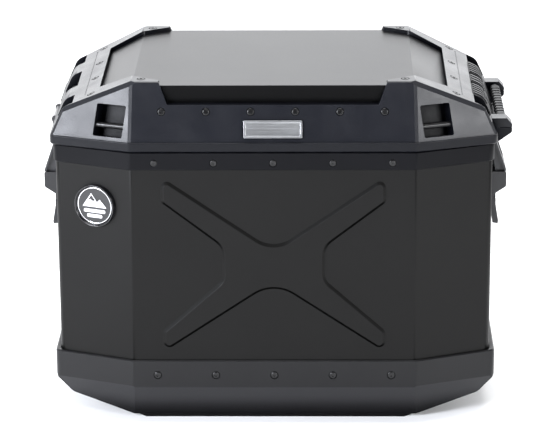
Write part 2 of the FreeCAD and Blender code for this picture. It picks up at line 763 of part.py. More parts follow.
def lid_windows():
    cuts = four_ways(facet_block(0, -POCKET_DEPTH, 20, 2))
    for side, low, high in shoulder_windows():
        outline = [(low, SHOULDER_WINDOW_SILL), (high, SHOULDER_WINDOW_SILL), (high, 350), (low, 350)]
        x = side_range(side, SHOULDER_WINDOW_X, LID_HALF_X + 10)
        cuts.append(slab("yz", outline, x[0], x[1], [1.4, 1.4, 0, 0]))
    return cuts


def end_band(inner, outer, low_x, low_z, low_y, high_y):
    """Band between two depths beneath the handle end's shoulder and side, beyond low_x and low_z."""
    lean = (SILL_X - BEND_X) / (BEND_Z - SILL_Z)
    foot = (SILL_X + lean * (SILL_Z - 250), 250)
    ends = [(0, LID_TOP + SHOULDER_SLOPE * SHOULDER_X), (0, 250), foot, (BEND_X, BEND_Z)]
    outer_form = slab("xz", inset(ends, outer), low_y, high_y, [0, 0, 0, 13 - outer])
    inner_form = slab("xz", inset(ends, inner), low_y, high_y, [0, 0, 0, 13 - inner])
    limits = box((low_x, REACH), (low_y, high_y), (low_z, REACH))
    return outer_form.cut(inner_form).common(limits)


def lid_screw_places():
    height = 333.0
    half_y = FRONT_SILL_Y - FRONT_LEAN * (height - LID_CREASE)
    normal = Vector(0, 1, FRONT_LEAN).normalize()
    return front_and_rear([-112, -67.2, -22.4, 22.4, 67.2, 112], height, half_y, normal)


def side_screw_places():
    x = 184.8
    normal = Vector(SHOULDER_SLOPE, 0, 1).normalize()
    places = [(Vector(x, y, shoulder_z(x, 0)), normal) for y in (-90, -30, 30, 90)]
    return both_ends(places)


def horn_screw_places():
    return [(Vector(x, y, LID_TOP), Vector(0, 0, 1)) for x in (-132.7, 132.7) for y in (-103, 103)]


def lid_frame():
    outer = lid_outer()
    hollow = outer.cut(lid_cavity())
    frame = join([hollow] + lid_pockets(outer))
    recess = slab("xy", plate_plan(0), 320, 380, plate_corner_radii())
    recess = recess.common(above_plate(PLATE_DROP + PLATE_SHEET))
    window = box((-120, 120), (-88, 88), (340, 370))
    tools = [recess, window] + both_y(slab("xz", horn_gap(0), FOLD_Y - 1.6, 150)) + lid_windows()
    tools.append(body_prism(0.6, 280, 298.2).cut(body_prism(3.1, 279, 299)))
    notch = box((NOTCH_X, 240), (-NOTCH_HALF_Y, NOTCH_HALF_Y), (280, 303.5))
    tools += [notch, mirror_x(notch)]
    tools.append(end_band(2.5, -6.0, 202.6, 303.0, -PAD_HALF_Y - 0.4, PAD_HALF_Y + 0.4))
    seam = box((190.5, 191.5), (-86, 86), (shoulder_z(191.0, 0.5), REACH))
    tools += [seam, mirror_x(seam)]
    tools += screw_holes(lid_screw_places() + side_screw_places() + horn_screw_places())
    tools += holes(both_ends(catch_rivet_places()), 1.25, 6)
    return remove(frame, tools)


def lid_top_plate():
    """Sheet between the horns, folded down in the gaps between them at the front and rear."""
    gap = 0.3
    sheet = slab("xy", plate_plan(gap), 320, 380, plate_corner_radii())
    edge = PLATE_EDGE_X - PLATE_SIDE_GROOVE
    sheet = sheet.common(box((-edge, edge), (-REACH, REACH), (320, 380)))
    sheet = sheet.common(above_plate(PLATE_DROP + PLATE_SHEET))
    fold = slab("xz", horn_gap(gap), FOLD_Y - 1.3, FOLD_Y)
    return join([sheet] + both_y(fold)).cut(above_plate(PLATE_DROP))


def lid_seal():
    return body_prism(0.7, LID_BOTTOM, 298.1).cut(body_prism(3.0, LID_BOTTOM - 1, 299))


def corner_lashing_bars():
    middle, across, up, out = facet_frame()
    drop = 5.0
    centre = middle - out * 6.0 - up * drop + across * (FACET_WINDOW_LEAN * drop)
    reach = across * FACET_WINDOW[0]
    bar = rod(centre - reach, centre + reach, 2.8).common(facet_block(0, -POCKET_DEPTH, 20, 2))
    return Part.Compound(four_ways(bar))


def shoulder_lashing_bars():
    """Flat bars with rounded edges across the shoulder windows, just above their sills."""
    bars = []
    for side, low, high in shoulder_windows():
        section = [(208.0, 314.6), (214.0, 314.6), (214.0, 319.2), (208.0, 319.2)]
        bars.append(slab("xz", [(side * x, z) for x, z in section], low, high, 2.0))
    return Part.Compound(bars)


def shoulder_pads():
    """Three ribbed rubber pads over the shoulder at the handle end."""
    pads = []
    for low, high, ribs in ((-62.0, -22.0, 5), (-14.0, 14.0, 3), (22.0, 62.0, 5)):
        pad = end_band(2.45, -0.3, 203.0, 304.0, low, high)
        pitch = (high - low) / ribs
        for i in range(ribs):
            middle = low + pitch * (i + 0.5)
            pad = pad.fuse(end_band(1.0, -1.3, 204.0, 323.5, middle - 0.27 * pitch, middle + 0.27 * pitch))
        pads.append(pad.removeSplitter())
    return Part.Compound(pads)


def on_front_slope(x, z, out):
    """Point at x and z on the lid's front slope, moved outwards by out."""
    y = -(FRONT_SILL_Y - FRONT_LEAN * (z - LID_CREASE))
    return Vector(x, y, z) + Vector(0, -1, FRONT_LEAN).normalize() * out


def slope_block(x, z, low, high, radius):
    """Rounded block lying on the lid's front slope."""
    normal = Vector(0, -1, FRONT_LEAN).normalize()
    up = Vector(0, FRONT_LEAN, 1).normalize()
    shape = slab("xy", rectangle(x[1] - x[0], (z[1] - z[0]) / up.z), low, high, radius)
    middle = on_front_slope((x[0] + x[1]) / 2, (z[0] + z[1]) / 2, 0)
    shape.Placement = FreeCAD.Placement(middle, FreeCAD.Rotation(Vector(1, 0, 0), up, normal, "ZXY"))
    return shape


def name_plate():
    """Blank metal plate with a raised border."""
    plate = slope_block((-29.4, 29.4), (307.5, 324.5), 0, 2.0, 1)
    return plate.cut(slope_block((-27.4, 27.4), (309.5, 322.5), 1.2, 3, 0.6))


def handle_bracket():
    low, high = BRACKET_Y
    outline = [(227.05, 293.6), (228, 288), (242.6, 298.5), (242.6, 307), (237.2, 313.2)]
    outline += [(221.6, 313.2), (226.3, 303.1), (227.05, 303.1)]
    block = slab("xz", outline, low, high, [0, 1.5, 3, 2.5, 2.5, 0, 0, 0])
    groove = box((230, 250), (low - 1, high + 1), (303.2, 304.0))
    groove = groove.cut(box((230, 241.8), (low + 0.8, high - 0.8), (303, 305)))
    pin_bore = pivot(HANDLE_X, HANDLE_Z, low - 1, 74.2, HANDLE_PIN_RADIUS + 0.02)
    return remove(block, [groove, pin_bore])


def handle_pins():
    return Part.Compound(both_y(pivot(HANDLE_X, HANDLE_Z, ARM_Y[0] - 1, 74.0, HANDLE_PIN_RADIUS)))


def handle_core():
    bar = pivot(GRIP_X, GRIP_Z, -ARM_Y[1], ARM_Y[1], 2.6)
    run = Vector(GRIP_X - HANDLE_X, 0, GRIP_Z - HANDLE_Z).normalize()
    side = Vector(run.z, 0, -run.x) * 4.4
    foot = Vector(HANDLE_X, 0, HANDLE_Z)
    head = Vector(GRIP_X, 0, GRIP_Z)
    corners = [foot - side, foot + side, head + side, head - side]
    arm = slab("xz", [(c.x, c.z) for c in corners], ARM_Y[0], ARM_Y[1])
    for point in (foot, head):
        arm = arm.fuse(pivot(point.x, point.z, *ARM_Y, 4.4))
    arm = arm.removeSplitter()
    core = join([bar] + both_y(arm))
    return core.cut(pivot(HANDLE_X, HANDLE_Z, -70, 70, HANDLE_PIN_RADIUS + RUNNING))


def grip_section(half_x, half_z, low, high):
    outline = [(GRIP_X + x, GRIP_Z + z) for x, z in rectangle(2 * half_x, 2 * half_z)]
    return slab("xz", outline, low, high, 2.6)


def handle_grip():
    """Rubber sleeve with raised ribs around it."""
    sleeve = [grip_section(4.0, 3.8, -GRIP_HALF_Y, GRIP_HALF_Y)]
    pitch = 9.6
    for i in range(-5, 6):
        sleeve.append(grip_section(4.8, 4.6, i * pitch - 2.7, i * pitch + 2.7))
    sleeve += both_y(grip_section(4.8, 4.6, 51.6, GRIP_HALF_Y))
    return join(sleeve).cut(pivot(GRIP_X, GRIP_Z, -60, 60, 2.62))


# ---- carrier fittings on the rear wall ----

def carrier_hook(middle_x):
    """Hook that drops over the carrier's upper tube, on its mounting plate."""
    low = middle_x - HOOK_HALF
    high = middle_x + HOOK_HALF
    wall = BODY_HALF_Y + HOOK_PLATE
    foot = TUBE_Y - TUBE_RADIUS
    block = box((low, high), (wall, foot), (232, 272))
    outer = rod(Vector(low, TUBE_Y, HOOK_Z), Vector(high, TUBE_Y, HOOK_Z), TUBE_RADIUS + HOOK_WALL)
    below = box((low - 1, high + 1), (TUBE_Y - 40, TUBE_Y + 40), (HOOK_Z - 40, HOOK_Z))
    cap = outer.cut(below)
    leg = box((low, high), (TUBE_Y + TUBE_RADIUS, TUBE_Y + TUBE_RADIUS + HOOK_WALL), (HOOK_Z - 7, HOOK_Z))
    web = box((low, high), (wall, TUBE_Y), (HOOK_Z + 8, HOOK_Z + TUBE_RADIUS + HOOK_WALL))
    hook = join([block, cap, leg, web])
    bore = rod(Vector(low - 1, TUBE_Y, HOOK_Z), Vector(high + 1, TUBE_Y, HOOK_Z), TUBE_RADIUS)
    mouth = box((low - 1, high + 1), (foot, TUBE_Y + TUBE_RADIUS), (HOOK_Z - 40, HOOK_Z))
    return remove(hook, [bore, mouth])


def hook_plates():
    """Plates that carry the hooks on the rear wall."""
    plates = []
    for x in (-HOOK_X, HOOK_X):
        sheet = [(x + a, HOOK_Z + b) for a, b in rectangle(2 * HOOK_HALF + 32, 40)]
        plates.append(slab("xz", sheet, BODY_HALF_Y, BODY_HALF_Y + HOOK_PLATE, 5))
    drilled = [plate.cut(holes(hook_screw_places(), 2.05, 9)) for plate in plates]
    return Part.Compound(drilled)


def carrier_rests():
    """Rubber pads that rest against the carrier's lower tube."""
    pads = []
    for x in (-HOOK_X, HOOK_X):
        outline = [(x - 22, 92), (x + 22, 92), (x + 22, 118), (x - 22, 118)]
        pad = slab("xz", outline, BODY_HALF_Y, TUBE_Y - 9.0, 5)
        pads.append(pad.makeFillet(1.5, [e for e in pad.Edges if e.BoundBox.YMin > TUBE_Y - 9.1]))
    return Part.Compound(pads)


def carrier_bush():
    """Flanged bush that carries the lock's shaft through the rear wall."""
    inner = BODY_HALF_Y - SHEET
    bush = rod(Vector(0, inner - 6, SHAFT_Z), Vector(0, 134, SHAFT_Z), 8.9)
    collar = rod(Vector(0, BODY_HALF_Y, SHAFT_Z), Vector(0, 134, SHAFT_Z), 16)
    bush = join([bush, collar])
    return bush.cut(rod(Vector(0, 100, SHAFT_Z), Vector(0, 170, SHAFT_Z), SHAFT_RADIUS + RUNNING))


def carrier_knob():
    """Three-lobed knob inside the case."""
    hub = rod(Vector(0, 104, SHAFT_Z), Vector(0, 120, SHAFT_Z), 13)
    lobes = [hub]
    for i in range(3):
        angle = math.radians(90 + 120 * i)
        x = 15 * math.cos(angle)
        z = SHAFT_Z + 15 * math.sin(angle)
        lobes.append(rod(Vector(x, 104, z), Vector(x, 118, z), 8.5))
    knob = join(lobes)
    return knob.cut(rod(Vector(0, 108, SHAFT_Z), Vector(0, 125, SHAFT_Z), SHAFT_RADIUS + 0.02))


def carrier_shaft():
    return rod(Vector(0, 108.5, SHAFT_Z), Vector(0, CLAW_Y + 5.5, SHAFT_Z), SHAFT_RADIUS)


def carrier_claw():
    """Arm that turns down behind the carrier's lower tube, with a hooked toe under it."""
    arm = slab("xz", [(-14, 90), (14, 90), (14, SHAFT_Z + 12), (-14, SHAFT_Z + 12)], CLAW_Y, CLAW_Y + 4, 7)
    toe = slab("xz", [(-12, 90), (12, 90), (12, 94.5), (-12, 94.5)], 148, CLAW_Y + 1, 1)
    hub = rod(Vector(0, 134.6, SHAFT_Z), Vector(0, CLAW_Y, SHAFT_Z), 9)
    claw = join([arm, toe, hub])
    return claw.cut(rod(Vector(0, 130, SHAFT_Z), Vector(0, 170, SHAFT_Z), SHAFT_RADIUS + 0.02))


# ---- the whole case ----

def case_nodes():
    return {
        "case_shell": case_shell(),
        "top_frame": top_frame(),
        "top_frame_rivets": band_rivets(),
        "bottom_tray": bottom_tray(),
        "tray_screws": sunk_screws(tray_screw_places()),
        "wear_plate": wear_plate(),
        "badge_bezel": badge_bezel(),
        "badge_ring": badge_ring(),
        "badge_face": badge_face(),
        "badge_emblem": badge_emblem(),
        "carrier_hook_plates": hook_plates(),
        "carrier_hook_left": carrier_hook(-HOOK_X),
        "carrier_hook_right": carrier_hook(HOOK_X),
        "carrier_hook_screws": group(headed_pin(4.2, 2.2, 2.0, 7.0, 1.7), hook_screw_places()),
        "carrier_rests": carrier_rests(),
        "carrier_bush": carrier_bush(),
    }


def carrier_lock_nodes():
    return {
        "carrier_knob": carrier_knob(),
        "carrier_shaft": carrier_shaft(),
        "carrier_claw": carrier_claw(),
    }


def lid_nodes():
    return {
        "lid_frame": lid_frame(),
        "lid_top_plate": lid_top_plate(),
        "lid_seal": lid_seal(),
        "lid_front_screws": sunk_screws(lid_screw_places()),
        "lid_side_screws": sunk_screws(side_screw_places()),
        "horn_screws": sunk_screws(horn_screw_places()),
        "corner_lashing_bars": corner_lashing_bars(),
        "shoulder_lashing_bars": shoulder_lashing_bars(),
        "shoulder_pads": shoulder_pads(),
        "name_plate": name_plate(),
        "handle_brackets": Part.Compound(both_y(handle_bracket())),
        "handle_pins": handle_pins(),
        "lid_catch_right": lid_catch(225.9),
        "lid_catch_left": mirror_x(lid_catch(229.2)),
        "lid_catch_rivets": catch_rivets(),
    }


def handle_nodes():
    return {"handle_core": handle_core(), "handle_grip": handle_grip()}


def latch_nodes():
    drawn = {
        "latch_plate": latch_plate(),
        "latch_rivets": latch_rivets(),
        "lever_pin": lever_pin(),
        "latch_lever": latch_lever(),
        "bail_pins": bail_pins(),
        "latch_bail": latch_bail(),
        "lock_cylinder": lock_cylinder(),
    }
    nodes = {name + "_right": shape for name, shape in drawn.items()}
    nodes.update({name + "_left": mirror_x(shape) for name, shape in drawn.items()})
    return nodes


def main():
    os.makedirs("parts", exist_ok=True)
    nodes = {}
    for body in (case_nodes(), carrier_lock_nodes(), lid_nodes(), handle_nodes(), latch_nodes()):
        nodes.update(body)
    for name, shape in nodes.items():
        shape.exportStep("parts/" + name + ".step")
        bounds = shape.BoundBox
        print(name, "valid" if shape.isValid() else "BROKEN", "solids", len(shape.Solids),
              "cm3 %.2f" % (shape.Volume / 1000), "X %.1f..%.1f" % (bounds.XMin, bounds.XMax),
              "Y %.1f..%.1f" % (bounds.YMin, bounds.YMax), "Z %.1f..%.1f" % (bounds.ZMin, bounds.ZMax))


main()
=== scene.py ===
import json
import math

import bpy
from mathutils import Euler, Matrix, Vector

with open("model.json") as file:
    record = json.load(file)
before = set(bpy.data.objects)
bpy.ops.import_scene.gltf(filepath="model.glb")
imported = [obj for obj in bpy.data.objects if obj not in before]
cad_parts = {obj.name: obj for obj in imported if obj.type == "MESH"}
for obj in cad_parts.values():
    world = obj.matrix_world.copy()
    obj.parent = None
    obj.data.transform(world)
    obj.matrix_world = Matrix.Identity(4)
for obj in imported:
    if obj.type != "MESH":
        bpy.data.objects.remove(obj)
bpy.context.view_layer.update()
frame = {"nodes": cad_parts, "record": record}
NODES = frame["nodes"]

# Lengths are in metres, angles in degrees and powers in watts. Colours are linear red, green and blue.

# ---- node helpers ----

NOISE_LOW, NOISE_HIGH = 0.3, 0.7  # a noise seldom leaves this range
LEVEL_BLUR = 0.0002  # half the height over which a level mask fades
TUCKED, OPEN = 0.45, 0.9  # ambient occlusion in a pocket and on a flat
FLAT_TURN, EDGE_TURN = 0.995, 0.85  # cosine between the softened and the true normal
RANGE_SOCKETS = ("From Min", "From Max", "To Min", "To Max")


def scaled(colour, factor, lift=0.0):
    return tuple(min(1.0, factor * channel + lift) for channel in colour)


class Finish:
    """A procedural material under construction: a Principled shader and the nodes that feed it."""

    def __init__(self, name, roughness, metallic=0.0, specular=0.5, coat=0.0, coat_roughness=0.1):
        self.material = bpy.data.materials.new(name)
        self.material.use_nodes = True
        self.tree = self.material.node_tree
        self.shader = self.tree.nodes["Principled BSDF"]
        self.shader.inputs["Roughness"].default_value = roughness
        self.shader.inputs["Metallic"].default_value = metallic
        self.shader.inputs["Specular IOR Level"].default_value = specular
        self.shader.inputs["Coat Weight"].default_value = coat
        self.shader.inputs["Coat Roughness"].default_value = coat_roughness
        self.place = self.tree.nodes.new("ShaderNodeTexCoord").outputs["Object"]
        self.bumped = None

    def node(self, kind, **values):
        made = self.tree.nodes.new(kind)
        for key, value in values.items():
            setattr(made, key, value)
        return made

    def link(self, source, target):
        self.tree.links.new(source, target)

    def stretched(self, scale):
        """Coordinates scaled by (x, y, z), for streaks."""
        mapping = self.node("ShaderNodeMapping")
        mapping.inputs["Scale"].default_value = scale
        self.link(self.place, mapping.inputs["Vector"])
        return mapping.outputs["Vector"]

    def noise(self, scale, detail=3.0, roughness=0.5, stretch=None, seed=0.0):
        made = self.node("ShaderNodeTexNoise", noise_dimensions="4D")
        made.inputs["Scale"].default_value = scale
        made.inputs["Detail"].default_value = detail
        made.inputs["Roughness"].default_value = roughness
        made.inputs["W"].default_value = seed
        self.link(self.stretched(stretch) if stretch else self.place, made.inputs["Vector"])
        return made.outputs["Fac"]

    def cells(self, scale, smooth):
        made = self.node("ShaderNodeTexVoronoi", feature="SMOOTH_F1")
        made.inputs["Scale"].default_value = scale
        made.inputs["Smoothness"].default_value = smooth
        self.link(self.place, made.inputs["Vector"])
        return made.outputs["Distance"]

    def remap(self, value, low, high, to_low=0.0, to_high=1.0):
        made = self.node("ShaderNodeMapRange")
        for socket, number in zip(RANGE_SOCKETS, (low, high, to_low, to_high)):
            made.inputs[socket].default_value = number
        self.link(value, made.inputs["Value"])
        return made.outputs["Result"]

    def between(self, noise, to_low=0.0, to_high=1.0):
        """A noise stretched to run from to_low to to_high."""
        return self.remap(noise, NOISE_LOW, NOISE_HIGH, to_low, to_high)

    def math(self, operation, first, second):
        made = self.node("ShaderNodeMath", operation=operation)
        for socket, value in zip(made.inputs, (first, second)):
            if isinstance(value, (int, float)):
                socket.default_value = value
            else:
                self.link(value, socket)
        return made.outputs["Value"]

    def mix(self, share, first, second):
        made = self.node("ShaderNodeMix", data_type="RGBA")
        self.link(share, made.inputs["Factor"])
        for socket, value in ((made.inputs["A"], first), (made.inputs["B"], second)):
            if isinstance(value, tuple):
                socket.default_value = (*value, 1.0)
            else:
                self.link(value, socket)
        return made.outputs["Result"]

    def facing_up(self, low, high):
        """Mask from the part's own normal: 0 where its Z is below low, 1 where it is above high."""
        split = self.node("ShaderNodeSeparateXYZ")
        self.link(self.node("ShaderNodeTexCoord").outputs["Normal"], split.inputs["Vector"])
        return self.remap(split.outputs["Z"], low, high)

    def above(self, level):
        """Mask of what lies above a height."""
        split = self.node("ShaderNodeSeparateXYZ")
        self.link(self.place, split.inputs["Vector"])
        return self.remap(split.outputs["Z"], level - LEVEL_BLUR, level + LEVEL_BLUR)

    def openness(self, reach, deepest):
        """Mask that is 1 in the open and falls to deepest in corners and pockets that close within reach."""
        made = self.node("ShaderNodeAmbientOcclusion", samples=6)
        made.inputs["Distance"].default_value = reach
        return self.remap(made.outputs["AO"], TUCKED, OPEN, deepest, 1.0)

    def edges(self, radius, strength):
        """Mask of the edges where the surface turns within radius."""
        soft = self.node("ShaderNodeBevel", samples=4)
        soft.inputs["Radius"].default_value = radius
        sharp = self.node("ShaderNodeNewGeometry").outputs["Normal"]
        turn = self.node("ShaderNodeVectorMath", operation="DOT_PRODUCT")
        self.link(soft.outputs["Normal"], turn.inputs[0])
        self.link(sharp, turn.inputs[1])
        return self.remap(turn.outputs["Value"], FLAT_TURN, EDGE_TURN, 0.0, strength)

    def worn_and_lit_edges(self, radius, strength, patches):
        """Mask of the edges, broken up by a noise, that lightens them for abrasion and as a painted
        highlight.
        """
        return self.math("MULTIPLY", self.edges(radius, strength), self.remap(patches, 0.35, 0.65))

    def bump(self, height, distance, strength):
        """Add a relief of this distance, on top of those that were added before."""
        made = self.node("ShaderNodeBump")
        made.inputs["Strength"].default_value = strength
        made.inputs["Distance"].default_value = distance
        self.link(height, made.inputs["Height"])
        if self.bumped is not None:
            self.link(self.bumped, made.inputs["Normal"])
        self.bumped = made.outputs["Normal"]
        self.link(self.bumped, self.shader.inputs["Normal"])

    def colour(self, value):
        self.link(value, self.shader.inputs["Base Color"])

    def roughness(self, value):
        self.link(value, self.shader.inputs["Roughness"])

    def specular(self, value):
        self.link(value, self.shader.inputs["Specular IOR Level"])


# ---- kinds of finish ----


def powder_coat(name, base, light, roughness, specular, shade_specular=0.15, shade_range=(-0.5, -0.1), upper_shade_share=1.0,
                wave=0.0004, cloud=0.05, wear=0.35):
    """Satin powder coat: fine orange peel, cloudy gloss, edges lightened by abrasion and as a painted
    highlight, and painted shade on what faces down.

    film is the range of the normal's Z over which the painted shade fades out. Below it the coat is painted
    darker, with clean times the specular level. What faces up has settled times the specular level, a
    painted shade on its highlights. wave is the depth of the sheet's slow waviness, and cloud the swing of
    its roughness."""
    finish = Finish(name, roughness, specular=specular)
    clouds = finish.noise(9.0, 4.0, 0.6)
    specks = finish.noise(1500.0, 2.0, 0.5, seed=3.0)
    # Painted shade: what faces down, below film, is darker and has less specular level.
    unshaded = finish.facing_up(*shade_range)
    tone = finish.mix(finish.between(clouds), base, light)
    tone = finish.mix(unshaded, scaled(base, 0.3), tone)
    shaded_specular_level = finish.remap(unshaded, 0.0, 1.0, shade_specular * specular, specular)
    # Painted shade on highlights: what faces up keeps settled times the specular level.
    upper_shade = finish.remap(finish.facing_up(0.1, 0.5), 0.0, 1.0, 1.0, upper_shade_share)
    finish.specular(finish.math("MULTIPLY", shaded_specular_level, upper_shade))
    # Edges lightened partly by abrasion and partly as a painted highlight.
    rubbed_and_lit = finish.worn_and_lit_edges(0.0009, wear, finish.noise(60.0))
    finish.colour(finish.mix(rubbed_and_lit, tone, scaled(light, 3.2, 0.02)))
    cloudy = finish.between(clouds, roughness - cloud, roughness + cloud)
    finish.roughness(finish.math("ADD", cloudy, finish.between(specks, -0.03, 0.03)))
    orange_peel = finish.noise(650.0, 2.0, 0.45, seed=1.0)
    finish.bump(orange_peel, 0.00008, 0.55)
    waviness = finish.noise(14.0, 2.0, 0.5, seed=5.0)
    finish.bump(waviness, wave, 0.25)
    return finish.material


def grained_plastic(name, base, light, roughness, specular=0.5, smooth_below=0.0, underside_reflection=1.0, wear=0.3):
    """Injection moulded plastic with an eroded grain and corners made dull and dark by painted shade.

    Below the height smooth_below it is darker, with about half the specular level. What faces down is
    lighter by the factor scuffed, a painted reflection of the pale floor."""
    finish = Finish(name, roughness, specular=specular)
    pits = finish.cells(1300.0, 0.6)
    clouds = finish.noise(7.0, 4.0, 0.6, seed=2.0)
    tone = finish.mix(finish.between(clouds), base, light)
    # Painted reflection of the floor: what faces down is lighter.
    tone = finish.mix(finish.facing_up(-0.35, -0.15), scaled(light, underside_reflection), tone)
    # Painted shade: corners and pockets are darker and less glossy, from ambient occlusion.
    in_the_open = finish.openness(0.03, 0.1)
    tone = finish.mix(in_the_open, scaled(base, 0.3), tone)
    level = finish.math("MULTIPLY", in_the_open, specular)
    if smooth_below:
        grained = finish.above(smooth_below)
        tone = finish.mix(grained, scaled(base, 0.7), tone)
        level = finish.math("MULTIPLY", level, finish.remap(grained, 0.0, 1.0, 0.55, 1.0))
    finish.specular(level)
    # Edges lightened partly by abrasion and partly as a painted highlight.
    worn_and_lit = finish.worn_and_lit_edges(0.0008, wear, finish.noise(45.0, seed=4.0))
    finish.colour(finish.mix(worn_and_lit, tone, scaled(light, 2.6, 0.02)))
    handled = finish.noise(30.0, 4.0, 0.6, seed=6.0)
    finish.roughness(finish.between(handled, roughness - 0.06, roughness + 0.05))
    finish.bump(pits, 0.00012, 0.5)
    ripple = finish.noise(260.0, 2.0, 0.5, seed=8.0)
    finish.bump(ripple, 0.0001, 0.25)
    return finish.material


def metal(name, base, roughness, streaks, depth=0.00003, spread=0.08):
    """Bare or plated metal with fine marks from turning or brushing, and a faint stain.

    streaks are the marks' scales along x, y and z, so that equal ones give no direction."""
    finish = Finish(name, roughness, metallic=1.0)
    marks = finish.noise(1.0, 5.0, 0.65, stretch=streaks, seed=1.5)
    stain = finish.noise(25.0, 3.0, 0.5, seed=2.5)
    finish.colour(finish.mix(finish.remap(stain, 0.25, 0.75), scaled(base, 0.72), base))
    finish.roughness(finish.remap(marks, 0.25, 0.75, max(0.03, roughness - spread), roughness + spread))
    finish.bump(marks, depth, 0.5)
    return finish.material


def zinc_black(name):
    """Black zinc on steel fasteners: dark, slightly uneven, with edges that rubbing has made brighter."""
    finish = Finish(name, 0.36, specular=0.4)
    patches = finish.noise(300.0, 3.0, 0.6)
    tone = finish.mix(finish.between(patches), (0.0015, 0.0015, 0.0018), (0.004, 0.004, 0.0045))
    finish.colour(finish.mix(finish.edges(0.0004, 0.4), tone, (0.05, 0.05, 0.055)))
    finish.roughness(finish.between(patches, 0.26, 0.44))
    crystals = finish.noise(1800.0, 2.0, 0.5, seed=2.0)
    finish.bump(crystals, 0.00004, 0.4)
    return finish.material


def rubber(name, base, light, roughness):
    """Matt rubber with a pale bloom, a fine grain and lighter edges."""
    finish = Finish(name, roughness, specular=0.24)
    bloom = finish.noise(40.0, 4.0, 0.65)
    tone = finish.mix(finish.remap(bloom, NOISE_LOW, 0.75), base, light)
    finish.colour(finish.mix(finish.edges(0.0008, 0.35), tone, scaled(light, 2.2)))
    finish.roughness(finish.between(bloom, roughness - 0.07, roughness + 0.06))
    grain = finish.noise(2200.0, 2.0, 0.6, seed=1.0)
    finish.bump(grain, 0.00007, 0.6)
    return finish.material


def gloss(name, base, roughness, coat):
    """Lacquered plastic with pale specks of dirt."""
    finish = Finish(name, roughness, coat=coat, coat_roughness=0.05)
    specks = finish.noise(900.0, 3.0, 0.7)
    finish.colour(finish.mix(finish.remap(specks, 0.55, 0.8), base, scaled(base, 2.5, 0.01)))
    finish.roughness(finish.between(finish.noise(50.0), roughness - 0.04, roughness + 0.05))
    finish.bump(finish.noise(120.0, 2.0), 0.00005, 0.25)
    return finish.material


# ---- finishes of this part ----

LID_CREASE = 0.3028  # the lid's smooth band ends here and its grained slopes start

COATS = {
    "case_coat": dict(base=(0.0032, 0.0031, 0.0030), light=(0.0046, 0.0045, 0.0043), roughness=0.42,
                      specular=0.15, upper_shade_share=0.65, wear=0.25),
    "plate_coat": dict(base=(0.0022, 0.0022, 0.0028), light=(0.0034, 0.0034, 0.0042), roughness=0.40,
                       specular=0.22, shade_specular=0.4, shade_range=(0.1, 0.7), wave=0.00005, cloud=0.01),
    "latch_metal": dict(base=(0.006, 0.006, 0.007), light=(0.010, 0.010, 0.012), roughness=0.38,
                        specular=0.50),
    "bail_metal": dict(base=(0.016, 0.016, 0.018), light=(0.024, 0.024, 0.027), roughness=0.36,
                       specular=0.45),
}
PLASTICS = {
    "frame_plastic": dict(base=(0.0018, 0.0019, 0.0028), light=(0.0028, 0.0029, 0.0040), roughness=0.42,
                          specular=0.10, wear=0.7),
    "tray_plastic": dict(base=(0.0034, 0.0034, 0.0042), light=(0.0050, 0.0050, 0.0058), roughness=0.40,
                         specular=0.28, underside_reflection=2.2, wear=0.8),
    "lid_plastic": dict(base=(0.0045, 0.0050, 0.0075), light=(0.0064, 0.0070, 0.0100), roughness=0.36,
                        specular=0.30, smooth_below=LID_CREASE, wear=0.6),
    "wear_plastic": dict(base=(0.006, 0.006, 0.006), light=(0.010, 0.010, 0.010), roughness=0.6,
                         specular=0.25),
    "bush_plastic": dict(base=(0.03, 0.03, 0.03), light=(0.045, 0.045, 0.045), roughness=0.5),
}
METALS = {
    "bright_steel": dict(base=(0.56, 0.56, 0.57), roughness=0.26, streaks=(60.0, 60.0, 900.0)),
    "lock_metal": dict(base=(0.66, 0.66, 0.67), roughness=0.18, streaks=(200.0, 200.0, 200.0)),
    "badge_metal": dict(base=(0.80, 0.80, 0.82), roughness=0.14, streaks=(90.0, 90.0, 90.0), spread=0.05),
    "name_plate_metal": dict(base=(0.62, 0.63, 0.65), roughness=0.34, streaks=(18.0, 900.0, 900.0),
                             depth=0.00006),
}
LACQUERS = {
    "badge_face": dict(base=(0.004, 0.004, 0.005), roughness=0.34, coat=0.05),
    "badge_housing": dict(base=(0.004, 0.004, 0.005), roughness=0.22, coat=0.25),
}
RUBBERS = {
    "rubber": dict(base=(0.004, 0.004, 0.005), light=(0.007, 0.007, 0.008), roughness=0.50),
    "seal_rubber": dict(base=(0.004, 0.004, 0.004), light=(0.007, 0.007, 0.007), roughness=0.75),
}
KINDS = (
    (powder_coat, COATS),
    (grained_plastic, PLASTICS),
    (zinc_black, {"black_steel": {}}),
    (metal, METALS),
    (gloss, LACQUERS),
    (rubber, RUBBERS),
)
FINISHES = {name: kind(name, **values) for kind, recipes in KINDS for name, values in recipes.items()}

SLOT_OF = {part["node"]: part["material_slot"] for part in frame["record"]["subparts"]}

for name, node in NODES.items():
    node.data.materials.clear()
    node.data.materials.append(FINISHES[SLOT_OF[name]])

# ---- softened edges on the carried-over parts ----

WELD_REACH = 0.000002
FLAT_ANGLE = 0.6  # faces that meet at less are one flat
EDGE_ANGLE = 35.0  # edges that turn more are rounded
EDGE_SEGMENTS = 2

# pieces by the width of their rounded edges
EDGE_WIDTHS = {
    0.00015: ("badge_emblem",),
    0.0002: ("name_plate",),
    0.0003: ("latch_bail_left", "latch_bail_right", "latch_plate_left", "latch_plate_right",
             "carrier_hook_plates", "shoulder_pads", "handle_grip", "badge_bezel"),
    0.0004: ("case_shell", "top_frame", "lid_top_plate", "latch_lever_left", "latch_lever_right",
             "carrier_hook_left", "carrier_hook_right"),
    0.0005: ("carrier_claw",),
    0.0006: ("handle_brackets",),
    0.0007: ("bottom_tray", "lid_frame"),
    0.0008: ("carrier_knob",),
}


